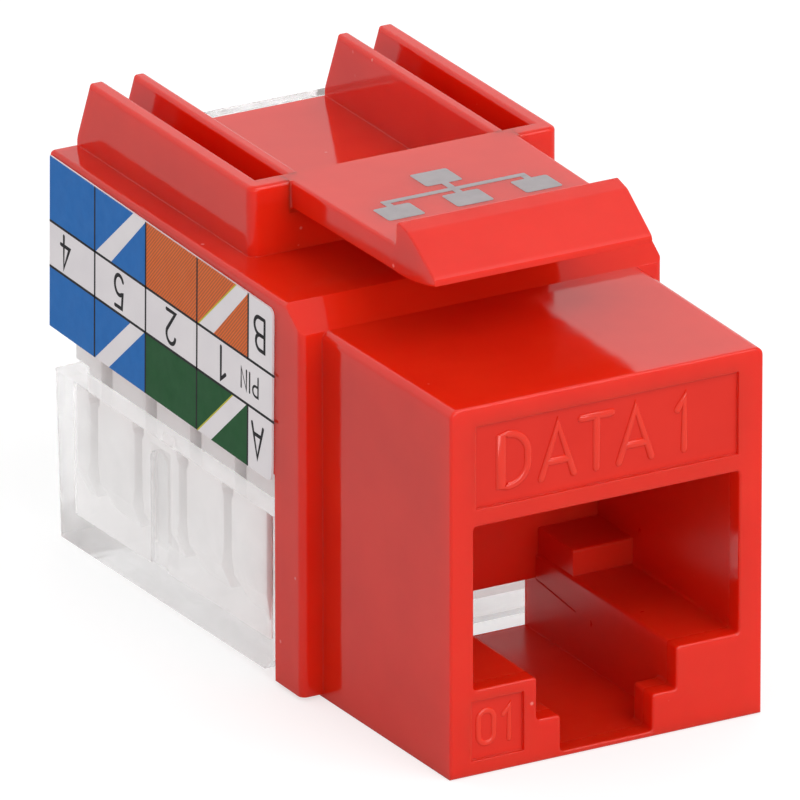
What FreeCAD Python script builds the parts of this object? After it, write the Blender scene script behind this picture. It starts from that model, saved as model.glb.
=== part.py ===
import FreeCAD, Part
import math
import os

os.makedirs("parts", exist_ok=True)

V = FreeCAD.Vector

# ------------------------------------------------------------------ sizes, mm
# While the shapes are drawn, Y = 0 is the nose's front face, +Y runs back, Z = 0 is the nose's underside.
# Everything is moved by SHIFT_Y at the end, so the origin is the bottom centre of the whole part.
NOSE_W = 14.5          # keystone nose, width at the front
NOSE_W_REAR = 14.9     # and at the flange: mould draft
NOSE_H = 16.0
NOSE_L = 10.2
BODY_W = 16.9          # flange and rear shell
FLANGE_L = 2.2
FLANGE_Z0 = 0.15
DECK_Z = 16.95
RAMP_L = 1.35
REAR_Y = 31.4
SHELL_Z0 = 9.2         # lower edge of the rear shell
SHELL_T = 1.03
ROOF_T = 1.2

PORT_W = 12.34         # plug port
PORT_TOP = 10.8
PORT_SHOULDER = 3.72
PORT_STEP = 1.85
PORT_FLOOR = 0.25
CH_W = 6.5             # latch channel behind the lips
CH_W_LIP = 4.28
LIP_L = 1.5
PORT_BACK = 11.5       # front of the port's back wall
WINDOW_TOP = 2.65
STOP_Y = 8.6
STOP_TOP = 4.85
CARRIER_W = 10.0       # bay over the port for the contact carrier
CARRIER_TOP = 15.0
CARRIER_Y0 = 1.3

PLATE_D = 0.15         # recessed plates on the front
PLATE = (-6.1, 11.55, 6.1, 15.15)
SMALL_PLATE = (-6.3, 0.65, -3.85, 3.25)

FIN_TOP = 19.98
FIN_OUT = (6.44, 7.2)
FIN_IN = (4.5, 5.13)
WALL_Y = (16.6, 17.2)
ROOT_Y = (16.6, 17.3)

ARM_T = 1.2            # latch arm
ARM_W_ROOT = 10.62
ARM_W_TIP = 10.1
ARM_TIP_Y = 5.2
CREST_Y = 8.15
CREST_Z = 21.04
TIP_Z = 19.51
LIP_T = 0.3
ARM_GAP = 0.04

PITCH = 1.02           # contact wires
WIRE_W = 0.40
WIRE_T = 0.32
BEND_Y = 2.75
BEND_Z = 11.75
TIP_CY = 9.6
TIP_CZ = 8.55

SLOT_Y0 = 17.2         # wire slots
SLOT_P = 3.81
SLOT_W = 0.64          # lower part of a slot, which grips the wire
SLOT_W_TOP = 0.96      # wider part over it
SLOT_STEP_Z = 6.45
SLOT_FLARE_Z = 4.0     # the mouth starts to flare here
SLOT_FLARE = 0.85
TOWER_CHAMFER = (0.62, 1.2)
BLOCK_W = 14.76
BLOCK_Z1 = 12.95
TOWER_IN = 2.9
TOWER_Z0 = 2.0
BLADE_X = 5.1
BLADE_T = 0.4
BLADE_W = 3.0

BOARD_Z = (13.0, 14.0)

CAP_Z1 = 7.32
CAP_T = 1.0
TAB_Y = (31.48, 32.3)
TAB_W = 10.2

TOTAL_L = TAB_Y[1]
SHIFT_Y = -TOTAL_L / 2.0


# ------------------------------------------------------------------ helpers
def box(x0, y0, z0, x1, y1, z1):
    return Part.makeBox(x1 - x0, y1 - y0, z1 - z0, V(x0, y0, z0))


def prism_yz(pts, x0, x1):
    """Polygon in the YZ plane, drawn from x0 to x1."""
    w = Part.makePolygon([V(x0, y, z) for y, z in pts] + [V(x0, pts[0][0], pts[0][1])])
    return Part.Face(w).extrude(V(x1 - x0, 0, 0))


def prism_xz(pts, y0, y1):
    w = Part.makePolygon([V(x, y0, z) for x, z in pts] + [V(pts[0][0], y0, pts[0][1])])
    return Part.Face(w).extrude(V(0, y1 - y0, 0))


def rounded_prism_xz(pts, r, y0, y1):
    """A prism along Y whose outline has square corners, each rounded with radius r."""
    n = len(pts)
    pts = [V(x, y0, z) for x, z in pts]
    parts, ends = [], []
    for i in range(n):
        c = pts[i]
        a = (pts[i - 1] - c).normalize()
        b = (pts[(i + 1) % n] - c).normalize()
        k = a + b
        mid = c + k * r - k * (r / k.Length)
        ends.append((c + a * r, mid, c + b * r))
    for i in range(n):
        parts.append(Part.Arc(*ends[i]).toShape())
        parts.append(Part.makeLine(ends[i][2], ends[(i + 1) % n][0]))
    return Part.Face(Part.Wire(parts)).extrude(V(0, y1 - y0, 0))


def prism_xy(pts, z0, z1):
    w = Part.makePolygon([V(x, y, z0) for x, y in pts] + [V(pts[0][0], pts[0][1], z0)])
    return Part.Face(w).extrude(V(0, 0, z1 - z0))


def pick(shape, test):
    """Edges whose two ends and middle all pass the test."""
    out = []
    for e in shape.Edges:
        p0 = e.valueAt(e.FirstParameter)
        p1 = e.valueAt(e.LastParameter)
        pm = e.valueAt(0.5 * (e.FirstParameter + e.LastParameter))
        if test(p0, p1, pm):
            out.append(e)
    return out


def soften(shape, r, test, name):
    """Round the picked edges, one call, falling back to one edge at a time."""
    edges = pick(shape, test)
    if not edges:
        print("no edges for", name)
        return shape
    try:
        s = shape.makeFillet(r, edges)
        if s.isValid() and s.Volume > 0 and len(s.Solids) == len(shape.Solids):
            return s
    except Exception as err:
        print("fillet in one call failed:", name, err)
    done = shape
    for e in edges:
        c = e.CenterOfMass
        again = [k for k in done.Edges if (k.CenterOfMass - c).Length < 1e-4]
        try:
            s = done.makeFillet(r, again[:1])
            if s.isValid() and s.Volume > 0:
                done = s
        except Exception:
            print("edge left sharp:", name, c)
    return done


def near(a, b, tol=1e-3):
    return abs(a - b) < tol


def first_solid(shape):
    s = shape.Solids
    if len(s) != 1:
        print("warning: solids", len(s))
    return max(s, key=lambda k: k.Volume)


def write(name, shape, single=True):
    s = shape.copy()
    s.translate(V(0, SHIFT_Y, 0))
    if single:
        s = first_solid(s)
    s.exportStep("parts/%s.step" % name)
    b = s.BoundBox
    print("%-18s solids %d valid %s vol %.3f  x %.2f %.2f  y %.2f %.2f  z %.2f %.2f" % (
        name, len(s.Solids), s.isValid(), s.Volume, b.XMin, b.XMax, b.YMin, b.YMax, b.ZMin, b.ZMax))


hw = BODY_W / 2.0
FLANGE_Y1 = NOSE_L + FLANGE_L


# ------------------------------------------------------------------ housing
def make_housing():
    nose = Part.makeWedge(-NOSE_W / 2, 0, 0, 0, -NOSE_W_REAR / 2,
                          NOSE_W / 2, NOSE_L + 0.5, NOSE_H, NOSE_H, NOSE_W_REAR / 2)
    # long top edges of the nose, then the edges of the front face
    nose = soften(nose, 0.35, lambda a, b, m: near(a.z, NOSE_H) and near(b.z, NOSE_H) and abs(a.x) > 6 and a.x * b.x > 0
                  and not near(a.y, b.y), "nose long edges")
    nose = soften(nose, 0.12, lambda a, b, m: near(a.y, 0) and near(b.y, 0), "nose front")

    flange = prism_yz([(NOSE_L, FLANGE_Z0), (NOSE_L, NOSE_H), (NOSE_L + RAMP_L, DECK_Z),
                       (FLANGE_Y1 + 0.5, DECK_Z), (FLANGE_Y1 + 0.5, SHELL_Z0), (FLANGE_Y1, SHELL_Z0),
                       (FLANGE_Y1, FLANGE_Z0)], -hw, hw)
    shell = box(-hw, FLANGE_Y1 + 0.2, SHELL_Z0, hw, REAR_Y, DECK_Z)
    rear = flange.fuse(shell).removeSplitter()
    # outer vertical edges of the flange and the long top edges
    rear = soften(rear, 0.3, lambda a, b, m: near(a.y, NOSE_L) and near(b.y, NOSE_L) and near(abs(a.x), hw)
                  and near(abs(b.x), hw) and a.x * b.x > 0, "flange front verticals")
    rear = soften(rear, 0.2, lambda a, b, m: near(a.z, DECK_Z) and near(b.z, DECK_Z) and near(abs(m.x), hw)
                  , "deck long edges")

    # fins and cross wall on the deck
    top = None

    def add(s):
        nonlocal top
        top = s if top is None else top.fuse(s)

    fin_prof = [(WALL_Y[0] + 0.4, DECK_Z - 0.2), (REAR_Y, DECK_Z - 0.2), (REAR_Y, DECK_Z + 0.66),
                (REAR_Y - 1.02, FIN_TOP), (WALL_Y[0] + 0.4, FIN_TOP)]
    for sx in (-1, 1):
        for (a, b) in (FIN_OUT, FIN_IN):
            x0, x1 = sorted((sx * a, sx * b))
            y_in = WALL_Y[0] + 0.4 if a == FIN_OUT[0] else ROOT_Y[1] + 0.05
            fin = prism_yz([(max(y, y_in), z) for y, z in fin_prof], x0, x1)
            fin = soften(fin, 0.2, lambda p, q, m: m.z > DECK_Z + 1.0 and near(abs(abs(m.x)), max(abs(x0), abs(x1)), 0.002)
                         or (m.z > DECK_Z + 1.0 and near(abs(m.x), min(abs(x0), abs(x1)), 0.002)), "fin")
            add(fin)
        # side blocks of the cross wall, from the arm's root out to the outer fin
        x0, x1 = sorted((sx * (ARM_W_ROOT / 2 + 0.04), sx * FIN_OUT[1]))
        blk = box(x0, WALL_Y[0], DECK_Z - 0.2, x1, WALL_Y[1] + 0.16, FIN_TOP)
        blk = soften(blk, 0.4, lambda p, q, m: near(abs(p.x), FIN_OUT[1]) and near(abs(q.x), FIN_OUT[1])
                     and near(p.y, WALL_Y[0]) and near(q.y, WALL_Y[0]), "block corner")
        blk = soften(blk, 0.2, lambda p, q, m: near(m.z, FIN_TOP) and m.y < WALL_Y[1] - 0.05
                     and abs(m.x) > ARM_W_ROOT / 2 + 0.3, "block top edge")
        add(blk)
    # centre of the cross wall: the arm's root rests on its sloped top
    zt = FIN_TOP - ARM_T
    ctr = prism_yz([(ROOT_Y[0], DECK_Z - 0.2), (ROOT_Y[1], DECK_Z - 0.2), (ROOT_Y[1], zt - ARM_GAP),
                    (ROOT_Y[1] - 0.3, zt - ARM_GAP), (ROOT_Y[0], zt - 0.2)],
                   -(ARM_W_ROOT / 2 + 0.2), ARM_W_ROOT / 2 + 0.2)
    add(ctr)

    h = nose.fuse(rear).fuse(top)

    # bay in the rear shell, open below and behind
    bay = box(-hw + SHELL_T, FLANGE_Y1, SHELL_Z0 - 1, hw - SHELL_T, REAR_Y + 1, DECK_Z - ROOF_T)
    h = h.cut(bay)

    # plug port
    pw, cw, lw = PORT_W / 2, CH_W / 2, CH_W_LIP / 2
    outline = [(lw, PORT_FLOOR), (lw, PORT_STEP), (cw, PORT_STEP), (cw, PORT_SHOULDER), (pw, PORT_SHOULDER),
               (pw, PORT_TOP), (-pw, PORT_TOP), (-pw, PORT_SHOULDER), (-cw, PORT_SHOULDER), (-cw, PORT_STEP),
               (-lw, PORT_STEP), (-lw, PORT_FLOOR)]
    cut = rounded_prism_xz(outline, 0.15, -1, PORT_BACK)
    cut = cut.fuse(box(-cw, LIP_L, PORT_FLOOR, cw, PORT_BACK, PORT_STEP + 0.2))
    for sx in (-1, 1):
        x0, x1 = sorted((sx * (cw + 0.1), sx * (pw + 0.5)))
        cut = cut.cut(box(x0, STOP_Y, PORT_SHOULDER - 0.5, x1, PORT_BACK + 0.5, STOP_TOP))
    h = h.cut(cut)
    # window at the back of the latch channel
    h = h.cut(box(-cw, PORT_BACK - 0.1, PORT_FLOOR, cw, FLANGE_Y1 + 0.1, WINDOW_TOP))
    # bay for the contact carrier, entered from the rear
    kw = CARRIER_W / 2
    h = h.cut(box(-kw, CARRIER_Y0, PORT_TOP - 0.1, kw, FLANGE_Y1 + 0.1, CARRIER_TOP))
    # shallow witness line at the back of each side of the channel
    for sx in (-1, 1):
        x0, x1 = sorted((sx * (cw - 0.05), sx * (cw + 0.04)))
        h = h.cut(prism_yz([(8.2, 2.28), (PORT_BACK, 2.57), (PORT_BACK, 2.64), (8.2, 2.35)], x0, x1))
    # recessed plates on the front
    for (a, b, c, d) in (PLATE, SMALL_PLATE):
        p = box(a, -1, b, c, PLATE_D, d)
        h = h.cut(p)
    h = h.removeSplitter()

    # edges of the port's mouth and of the flange foot
    def port_edge(p, q, m):
        if not (near(p.y, 0) and near(q.y, 0)):
            return False
        inside = abs(m.x) <= pw + 0.01 and PORT_FLOOR - 0.01 <= m.z <= PORT_TOP + 0.01
        plate = near(m.x, SMALL_PLATE[0]) or near(m.x, SMALL_PLATE[2]) or (
            m.x < SMALL_PLATE[2] and (near(m.z, SMALL_PLATE[1]) or near(m.z, SMALL_PLATE[3])))
        return inside and not plate

    h = soften(h, 0.11, port_edge, "port mouth")
    h = soften(h, 0.1, lambda p, q, m: near(m.y, STOP_Y) and abs(m.x) > cw and near(m.z, STOP_TOP), "stop edge")
    return h


# ------------------------------------------------------------------ latch arm
def make_arm():
    zt = FIN_TOP
    zb = FIN_TOP - ARM_T
    prof = [(ROOT_Y[1], zb + 0.02), (ROOT_Y[1], zt), (CREST_Y + 0.12, zt), (CREST_Y, CREST_Z),
            (CREST_Y - 0.9, CREST_Z - 0.2), (ARM_TIP_Y, TIP_Z), (ARM_TIP_Y, TIP_Z - LIP_T),
            (ARM_TIP_Y + 0.3, TIP_Z - LIP_T - 0.12), (7.2, zb - 0.02), (7.6, zb)]
    a = prism_yz(prof, -ARM_W_ROOT / 2, ARM_W_ROOT / 2)
    # plan taper
    plan = prism_xy([(-ARM_W_TIP / 2, ARM_TIP_Y - 1), (ARM_W_TIP / 2, ARM_TIP_Y - 1),
                     (ARM_W_TIP / 2 + 0.02, CREST_Y), (ARM_W_ROOT / 2, ROOT_Y[0] - 0.2),
                     (ARM_W_ROOT / 2, ROOT_Y[1] + 1), (-ARM_W_ROOT / 2, ROOT_Y[1] + 1),
                     (-ARM_W_ROOT / 2, ROOT_Y[0] - 0.2), (-ARM_W_TIP / 2 - 0.02, CREST_Y)], 15, 25)
    a = a.common(plan)
    a = soften(a, 0.1, lambda p, q, m: near(m.z, CREST_Z) or near(m.z, TIP_Z), "arm crest")
    return a


# ------------------------------------------------------------------ contact carrier, wires, leads
def wire_x(i):
    return (i - 3.5) * PITCH


def make_carrier():
    kw = CARRIER_W / 2 - 0.05
    c = box(-kw, CARRIER_Y0 + 0.05, PORT_TOP + 0.05, kw, FLANGE_Y1, CARRIER_TOP - 0.05)
    c = soften(c, 0.15, lambda p, q, m: near(abs(p.x), kw) and near(abs(q.x), kw) and near(p.y, q.y), "carrier")
    for i in range(8):
        x = wire_x(i)
        c = c.cut(box(x - 0.31, 2.0, PORT_TOP - 1, x + 0.31, 11.2, 13.4))
        c = c.cut(box(x - WIRE_W / 2 - 0.02, 2.3, 14.28, x + WIRE_W / 2 + 0.02, FLANGE_Y1 + 1, CARRIER_TOP))
        c = c.cut(box(x - 0.31, 2.0, 13.3, x + 0.31, 3.3, CARRIER_TOP))
    return c


def make_spring(i):
    """One sprung wire: a knuckle at the front and a leg that slopes down and back to a bent-up tip."""
    x = wire_x(i)
    x0, x1 = x - WIRE_W / 2, x + WIRE_W / 2
    dy, dz = TIP_CY - BEND_Y, TIP_CZ - BEND_Z
    ln = math.hypot(dy, dz)
    ny, nz = -dz / ln, dy / ln
    t = WIRE_T / 2
    leg = prism_yz([(BEND_Y - ny * t, BEND_Z - nz * t), (TIP_CY - ny * t, TIP_CZ - nz * t),
                    (TIP_CY + ny * t, TIP_CZ + nz * t), (BEND_Y + ny * t, BEND_Z + nz * t)], x0, x1)
    knuckle = Part.makeCylinder(0.32, WIRE_W, V(x0, BEND_Y, BEND_Z), V(1, 0, 0))
    heel = Part.makeCylinder(t, WIRE_W, V(x0, TIP_CY, TIP_CZ), V(1, 0, 0))
    tip = prism_yz([(TIP_CY - 0.10, TIP_CZ - t * 0.9), (TIP_CY + 0.95, TIP_CZ + 0.42), (TIP_CY + 0.85, TIP_CZ + 0.70),
                    (TIP_CY - 0.16, TIP_CZ + t * 0.9)], x0, x1)
    return leg.fuse(knuckle).fuse(heel).fuse(tip).removeSplitter()


def lead_end(i):
    return 14.2 if i % 2 == 0 else 15.6


def make_leads():
    """Fixed ends of the wires: a hook at the front, a run back over the carrier and a leg down through the board."""
    out = []
    for i in range(8):
        x = wire_x(i)
        x0, x1 = x - WIRE_W / 2, x + WIRE_W / 2
        ye = lead_end(i)
        hook = Part.makeCylinder(0.32, WIRE_W, V(x0, BEND_Y, BEND_Z + 0.70), V(1, 0, 0))
        run = box(x0, 2.5, 14.3, x1, ye + 0.15, 14.6)
        riser = box(x0, BEND_Y - 0.15, BEND_Z + 0.70, x1, BEND_Y + 0.15, 14.35)
        leg = box(x - 0.15, ye - 0.15, 12.97, x + 0.15, ye + 0.15, 14.35)
        out.append(run.fuse(riser).fuse(hook).fuse(leg).removeSplitter())
    return Part.makeCompound([first_solid(s) for s in out])


# ------------------------------------------------------------------ board
def slot_ys():
    return [SLOT_Y0 + k * SLOT_P for k in range(4)]


def make_board():
    b = box(-7.1, 12.75, BOARD_Z[0], 7.1, 31.0, BOARD_Z[1])
    b = soften(b, 0.4, lambda p, q, m: near(p.x, q.x) and near(p.y, q.y), "board corners")
    for i in range(8):
        b = b.cut(Part.makeCylinder(0.26, 3, V(wire_x(i), lead_end(i), 12), V(0, 0, 1)))
    for y in slot_ys():
        for sx in (-1, 1):
            b = b.cut(Part.makeCylinder(0.42, 3, V(sx * BLADE_X, y, 12), V(0, 0, 1)))
    return b


# ------------------------------------------------------------------ IDC block and blades
def make_block():
    bw = BLOCK_W / 2
    base = box(-bw, FLANGE_Y1 + 0.1, 8.9, bw, REAR_Y - 0.02, BLOCK_Z1)
    mid = box(-bw, FLANGE_Y1 + 0.4, CAP_Z1 + 0.25, bw, REAR_Y - 0.02, 9.0)
    b = base.fuse(mid)
    # two rows of towers hang from it
    for sx in (-1, 1):
        x0, x1 = sorted((sx * TOWER_IN, sx * bw))
        row = box(x0, FLANGE_Y1 + 1.5, TOWER_Z0, x1, REAR_Y - CAP_T - 0.25, CAP_Z1 + 0.3)
        b = b.fuse(row)
    b = b.cut(box(-TOWER_IN, FLANGE_Y1 + 1.5, 0, TOWER_IN, REAR_Y - CAP_T - 0.25, 8.9))
    b = b.removeSplitter()
    # wire slots with flared mouths, right across both rows
    for y in slot_ys():
        h, g = SLOT_W / 2, SLOT_W_TOP / 2
        prof = [(y - SLOT_FLARE, TOWER_Z0 - 0.1), (y + SLOT_FLARE, TOWER_Z0 - 0.1), (y + h, SLOT_FLARE_Z),
                (y + h, SLOT_STEP_Z), (y + g, SLOT_STEP_Z + 0.2), (y + g, 9.6), (y - g, 9.6),
                (y - g, SLOT_STEP_Z + 0.2), (y - h, SLOT_STEP_Z), (y - h, SLOT_FLARE_Z)]
        for sx in (-1, 1):
            x0, x1 = sorted((sx * (TOWER_IN - 0.05), sx * (bw + 0.1)))
            b = b.cut(prism_yz(prof, x0, x1))
            x0, x1 = sorted((sx * (BLADE_X - BLADE_T / 2 - 0.03), sx * (BLADE_X + BLADE_T / 2 + 0.03)))
            b = b.cut(box(x0, y - BLADE_W / 2 - 0.03, 2.6, x1, y + BLADE_W / 2 + 0.03, 11.0))
            b = b.cut(box(x0, y - 0.4, 10.9, x1, y + 0.4, BLOCK_Z1 + 0.1))
    # groove on each outer side for the cap's snap rib, and catch ledges
    yc = SLOT_Y0 + 1.5 * SLOT_P
    for sx in (-1, 1):
        x0, x1 = sorted((sx * (bw - 0.62), sx * (bw + 0.1)))
        b = b.cut(box(x0, yc - 0.85, TOWER_Z0 - 0.5, x1, yc + 0.85, 6.6))
    # chamfered tower tips
    for sx in (-1, 1):
        x = sx * bw
        cx, cz = TOWER_CHAMFER
        b = b.cut(prism_xz([(x + sx * 0.05, TOWER_Z0 - 0.1), (x + sx * 0.05, TOWER_Z0 + cz), (x, TOWER_Z0 + cz),
                            (x - sx * cx, TOWER_Z0), (x - sx * cx, TOWER_Z0 - 0.1)], FLANGE_Y1, REAR_Y))
    b = soften(b, 0.12, lambda p, q, m: near(abs(p.x), bw) and near(abs(q.x), bw) and near(p.y, REAR_Y - 0.02)
               and near(q.y, REAR_Y - 0.02), "block rear corners")
    return b


def make_blade(sx, y):
    x0, x1 = sorted((sx * (BLADE_X - BLADE_T / 2), sx * (BLADE_X + BLADE_T / 2)))
    h = BLADE_W / 2
    g = 0.16
    prof = [(y - h, 3.4), (y - h + 0.45, 2.75), (y - g - 0.35, 2.75), (y - g, 3.5), (y - g, 7.6), (y + g, 7.6),
            (y + g, 3.5), (y + g + 0.35, 2.75), (y + h - 0.45, 2.75), (y + h, 3.4), (y + h, 10.9), (y + 0.3, 10.9),
            (y + 0.3, 14.35), (y + 0.12, 14.6), (y - 0.12, 14.6), (y - 0.3, 14.35), (y - 0.3, 10.9), (y - h, 10.9)]
    return prism_yz(prof, x0, x1)


# ------------------------------------------------------------------ dust cap
def make_cap():
    ow = hw
    y0 = FLANGE_Y1 + 0.12
    # outside, drafted at the rear and with a slightly falling floor
    outer = prism_yz([(y0, CAP_Z1), (y0 + 0.06, 0.95), (y0 + 0.75, 0.36), (REAR_Y - 0.4, 0.0), (REAR_Y, CAP_Z1)], -ow, ow)
    outer = soften(outer, 0.35, lambda p, q, m: near(abs(p.x), ow) and near(abs(q.x), ow)
                   and abs(p.z - q.z) > 5 and m.y > 20, "cap rear corners")
    inner = prism_yz([(y0 + CAP_T, CAP_Z1 + 1), (y0 + CAP_T, 1.5), (REAR_Y - CAP_T - 0.06, 1.15),
                      (REAR_Y - CAP_T, CAP_Z1 + 1)], -(ow - CAP_T), ow - CAP_T)
    inner = soften(inner, 0.3, lambda p, q, m: abs(p.z - q.z) > 4, "cap inside corners")
    c = outer.cut(inner)
    # side walls drop a little at the front corners
    # snap ribs, one on each side
    yc = SLOT_Y0 + 1.5 * SLOT_P
    for sx in (-1, 1):
        x0, x1 = sorted((sx * (ow - CAP_T - 0.5), sx * (ow - CAP_T + 0.2)))
        rib = box(x0, yc - 0.75, 1.1, x1, yc + 0.75, 6.4)
        rib = soften(rib, 0.5, lambda p, q, m: near(m.z, 6.4) and near(p.y, q.y), "rib top")
        c = c.fuse(rib)
    # pull tab up the back of the housing
    tab = prism_yz([(REAR_Y - 0.4, 1.2), (TAB_Y[1], 1.9), (TAB_Y[1], DECK_Z - 0.02), (TAB_Y[0], DECK_Z - 0.02),
                    (TAB_Y[0], 7.0), (REAR_Y - 0.4, 6.8)], -TAB_W / 2, TAB_W / 2)
    tab = soften(tab, 0.12, lambda p, q, m: near(m.z, DECK_Z - 0.02) and near(p.y, q.y) and not near(p.x, q.x), "tab top")
    inside = box(-(ow - CAP_T), y0 + CAP_T, 0.0, ow - CAP_T, REAR_Y - CAP_T, 9.0)
    tab = tab.cut(inside)
    c = c.fuse(tab).removeSplitter()
    return c


# ------------------------------------------------------------------ labels
def make_label(sx):
    """Thin film on the shell's side, set on with about one degree of tilt."""
    t = 0.1
    y0, y1 = FLANGE_Y1 + 0.02, REAR_Y - 0.03
    z0, z1 = 9.02, 16.6
    w = Part.makeBox(t, y1 - y0, z1 - z0, V(0, y0, z0))
    w = w.makeFillet(0.35, [e for e in w.Edges if near(e.Vertexes[0].Point.y, y0) and near(e.Vertexes[1].Point.y, y0)
                            and near(e.Vertexes[0].Point.z, e.Vertexes[1].Point.z)])
    w.rotate(V(0, (y0 + y1) / 2, (z0 + z1) / 2), V(1, 0, 0), 1.1)
    if sx > 0:
        w.translate(V(hw, 0, 0))
    else:
        w.translate(V(-hw - t, 0, 0))
    return w


write("housing", make_housing())
write("latch_arm", make_arm())
write("contact_carrier", make_carrier())
write("contact_leads", make_leads(), single=False)
for n in range(8):
    write("spring_contact_%d" % (n + 1), make_spring(n))
write("circuit_board", make_board())
write("idc_block", make_block())
k = 0
for side in (-1, 1):
    for yy in slot_ys():
        k += 1
        write("idc_contact_%d" % k, make_blade(side, yy))
write("dust_cap", make_cap())
write("label_left", make_label(-1))
write("label_right", make_label(1))
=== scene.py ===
import math
import bpy
import bmesh
from mathutils import Vector, Matrix


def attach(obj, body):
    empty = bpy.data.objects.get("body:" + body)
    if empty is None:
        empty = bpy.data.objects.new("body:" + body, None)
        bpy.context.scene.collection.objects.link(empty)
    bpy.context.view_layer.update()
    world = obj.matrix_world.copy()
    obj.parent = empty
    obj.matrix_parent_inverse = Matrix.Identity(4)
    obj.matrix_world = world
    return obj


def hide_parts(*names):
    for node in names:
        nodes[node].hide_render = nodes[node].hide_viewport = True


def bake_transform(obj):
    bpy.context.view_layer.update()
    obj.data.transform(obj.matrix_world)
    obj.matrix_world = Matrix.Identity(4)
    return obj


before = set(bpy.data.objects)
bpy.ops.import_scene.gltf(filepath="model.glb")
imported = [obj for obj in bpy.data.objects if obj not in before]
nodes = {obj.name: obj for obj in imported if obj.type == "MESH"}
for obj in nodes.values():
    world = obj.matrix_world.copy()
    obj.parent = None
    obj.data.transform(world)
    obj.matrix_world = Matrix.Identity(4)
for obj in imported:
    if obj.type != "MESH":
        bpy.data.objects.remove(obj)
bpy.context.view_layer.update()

MM = 0.001
SY = -16.15            # the front face of the nose is at Y = -16.15 mm
scene = bpy.context.scene


def P(x, y, z):
    """A point given in mm, with y counted back from the nose's front face, in the row frame."""
    return Vector((x * MM, (y + SY) * MM, z * MM))


def srgb(r, g, b):
    def f(c):
        c = c / 255.0
        return c / 12.92 if c <= 0.04045 else ((c + 0.055) / 1.055) ** 2.4
    return (f(r), f(g), f(b), 1.0)


# ------------------------------------------------------------------ materials
class Mat:
    def __init__(self, name):
        self.m = bpy.data.materials.new(name)
        self.m.use_nodes = True
        self.nt = self.m.node_tree
        self.bsdf = self.nt.nodes["Principled BSDF"]
        self.coord = self.nt.nodes.new("ShaderNodeTexCoord")

    def node(self, kind, **kw):
        n = self.nt.nodes.new(kind)
        for k, v in kw.items():
            if hasattr(n, k) and not isinstance(v, tuple) and k not in n.inputs.keys():
                setattr(n, k, v)
            else:
                n.inputs[k].default_value = v
        return n

    def link(self, a, b):
        self.nt.links.new(a, b)

    def noise(self, scale, detail=2.0, rough=0.5):
        n = self.nt.nodes.new("ShaderNodeTexNoise")
        n.inputs["Scale"].default_value = scale
        n.inputs["Detail"].default_value = detail
        n.inputs["Roughness"].default_value = rough
        self.link(self.coord.outputs["Object"], n.inputs["Vector"])
        return n

    def map(self, src, lo, hi, a=0.0, b=1.0):
        n = self.nt.nodes.new("ShaderNodeMapRange")
        n.inputs["From Min"].default_value = a
        n.inputs["From Max"].default_value = b
        n.inputs["To Min"].default_value = lo
        n.inputs["To Max"].default_value = hi
        self.link(src, n.inputs["Value"])
        return n.outputs["Result"]

    def mix(self, fac, a, b):
        n = self.nt.nodes.new("ShaderNodeMix")
        n.data_type = "RGBA"
        if isinstance(fac, float):
            n.inputs["Factor"].default_value = fac
        else:
            self.link(fac, n.inputs["Factor"])
        for key, v in (("A", a), ("B", b)):
            s = [i for i in n.inputs if i.name == key and i.type == "RGBA"][0]
            if isinstance(v, tuple):
                s.default_value = v
            else:
                self.link(v, s)
        return [o for o in n.outputs if o.type == "RGBA"][0]

    def rounded(self, radius, samples=4):
        """Shading normal that rounds every edge by a radius in mm."""
        n = self.nt.nodes.new("ShaderNodeBevel")
        n.samples = samples
        n.inputs["Radius"].default_value = radius * MM
        return n.outputs["Normal"]

    def bump(self, src, strength, dist, normal=None):
        n = self.nt.nodes.new("ShaderNodeBump")
        n.inputs["Strength"].default_value = strength
        n.inputs["Distance"].default_value = dist
        self.link(src, n.inputs["Height"])
        if normal is not None:
            self.link(normal, n.inputs["Normal"])
        return n.outputs["Normal"]

    def set(self, **kw):
        for k, v in kw.items():
            self.bsdf.inputs[k.replace("_", " ")].default_value = v

    def to(self, src, name):
        self.link(src, self.bsdf.inputs[name])


def inside_port(m):
    """One inside the plug port, where the mould's core left a duller skin, and nought elsewhere."""
    sep = m.nt.nodes.new("ShaderNodeSeparateXYZ")
    m.link(m.coord.outputs["Object"], sep.inputs[0])
    wide = m.nt.nodes.new("ShaderNodeMath")
    wide.operation = "ABSOLUTE"
    m.link(sep.outputs["X"], wide.inputs[0])
    out = None
    for f in (m.map(wide.outputs[0], 1, 0, 0.00635, 0.00645), m.map(sep.outputs["Z"], 1, 0, 0.0110, 0.0112),
              m.map(sep.outputs["Z"], 0, 1, 0.0001, 0.0002), m.map(sep.outputs["Y"], 0, 1, -0.0157, -0.0153),
              m.map(sep.outputs["Y"], 1, 0, -0.0040, -0.0035)):
        if out is None:
            out = f
            continue
        both = m.nt.nodes.new("ShaderNodeMath")
        both.operation = "MULTIPLY"
        m.link(out, both.inputs[0])
        m.link(f, both.inputs[1])
        out = both.outputs[0]
    return out


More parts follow.
